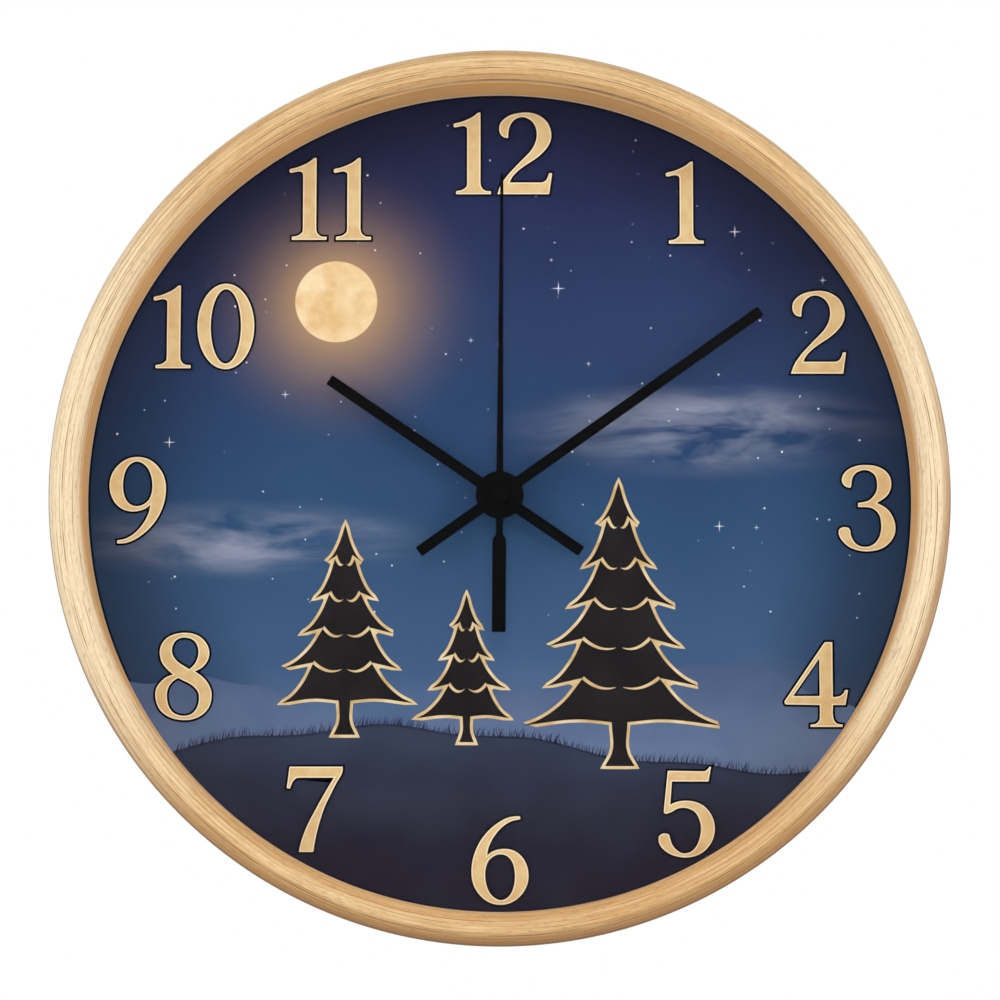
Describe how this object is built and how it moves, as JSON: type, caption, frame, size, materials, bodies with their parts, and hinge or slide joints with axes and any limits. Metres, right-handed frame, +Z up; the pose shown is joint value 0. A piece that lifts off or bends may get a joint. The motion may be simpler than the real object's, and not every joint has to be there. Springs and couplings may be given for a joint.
{
  "type": "wall clock",
  "caption": "Round quartz wall clock with a deep bent-wood frame, a clear lens, a printed dial, three hands, a geared movement and a keyhole hanger plate.",
  "frame": {"origin": "on the wall plane at the nail that the clock hangs on: the axis of the nail's shank where it bears in the top of the keyhole", "axes": "+Z up, +Y into the wall, so the clock faces -Y, +X to the right as seen from the front"},
  "size_m": [0.254, 0.046, 0.254],
  "materials": {
    "frame_wood": "satin",
    "liner_wood": "matte",
    "clear_acrylic": "polished",
    "printed_dial": "satin print on board",
    "zinc_steel": "zinc plated",
    "case_plastic": "moulded",
    "gear_plastic": "moulded",
    "battery_jacket": "gloss film",
    "circuit_board": "solder mask",
    "copper_wire": "enamelled",
    "stator_iron": "stamped",
    "brass": "turned",
    "rubber": "matte",
    "black_hands": "satin black"
  },
  "bodies": {
    "housing": {"frame_ring": "frame_wood", "lens": "clear_acrylic", "liner_ring": "liner_wood", "dial_board": "printed_dial", "dial_clip_1": "zinc_steel", "dial_clip_2": "zinc_steel", "dial_clip_3": "zinc_steel", "dial_clip_4": "zinc_steel", "clip_screw_1": "zinc_steel", "clip_screw_2": "zinc_steel", "clip_screw_3": "zinc_steel", "clip_screw_4": "zinc_steel", "hanger_plate": "zinc_steel", "case_front": "case_plastic", "case_back": "case_plastic", "train_bridge": "gear_plastic", "battery": "battery_jacket", "contact_positive": "zinc_steel", "contact_negative": "zinc_steel", "circuit_board": "circuit_board", "coil": "copper_wire", "coil_core": "stator_iron", "stator": "stator_iron", "bushing": "brass", "gasket": "rubber", "dial_washer": "brass", "hex_nut": "brass"},
    "seconds": {"seconds_wheel": "gear_plastic", "second_hand": "black_hands"},
    "minutes": {"centre_wheel": "gear_plastic", "minute_hand": "black_hands"},
    "hours": {"hour_wheel": "gear_plastic", "hour_hand": "black_hands"},
    "motor_rotor": {"rotor": "gear_plastic"},
    "step": {"step_wheel": "gear_plastic"},
    "third": {"third_wheel": "gear_plastic"},
    "motion": {"motion_wheel": "gear_plastic"},
    "knob": {"setting_knob": "case_plastic"}
  },
  "joints": [
    {"name": "seconds_turn", "type": "hinge", "parent": "housing", "child": "seconds", "pos_m": [0, -0.01, -0.046], "axis": [0, 1, 0], "continuous": true},
    {"name": "minutes_turn", "type": "hinge", "parent": "housing", "child": "minutes", "pos_m": [0, -0.01, -0.046], "axis": [0, 1, 0], "continuous": true},
    {"name": "hours_turn", "type": "hinge", "parent": "housing", "child": "hours", "pos_m": [0, -0.01, -0.046], "axis": [0, 1, 0], "continuous": true},
    {"name": "rotor_turn", "type": "hinge", "parent": "housing", "child": "motor_rotor", "pos_m": [0.01355, -0.01, -0.03333], "axis": [0, 1, 0], "continuous": true},
    {"name": "step_turn", "type": "hinge", "parent": "housing", "child": "step", "pos_m": [0.00935, -0.01, -0.0406], "axis": [0, 1, 0], "continuous": true},
    {"name": "third_turn", "type": "hinge", "parent": "housing", "child": "third", "pos_m": [-0.00935, -0.01, -0.0406], "axis": [0, 1, 0], "continuous": true},
    {"name": "motion_turn", "type": "hinge", "parent": "housing", "child": "motion", "pos_m": [0, -0.01, -0.0364], "axis": [0, 1, 0], "continuous": true},
    {"name": "knob_turn", "type": "hinge", "parent": "housing", "child": "knob", "pos_m": [-0.00369, -0.01, -0.02625], "axis": [0, 1, 0], "continuous": true}
  ],
  "couplings": [
    {"joint": "minutes_turn", "follows": "seconds_turn", "ratio": 0.016667},
    {"joint": "hours_turn", "follows": "seconds_turn", "ratio": 0.0013889},
    {"joint": "third_turn", "follows": "seconds_turn", "ratio": -0.13333},
    {"joint": "motion_turn", "follows": "seconds_turn", "ratio": -0.0055556},
    {"joint": "knob_turn", "follows": "seconds_turn", "ratio": 0.011111},
    {"joint": "step_turn", "follows": "seconds_turn", "ratio": -5},
    {"joint": "rotor_turn", "follows": "seconds_turn", "ratio": 30}
  ]
}
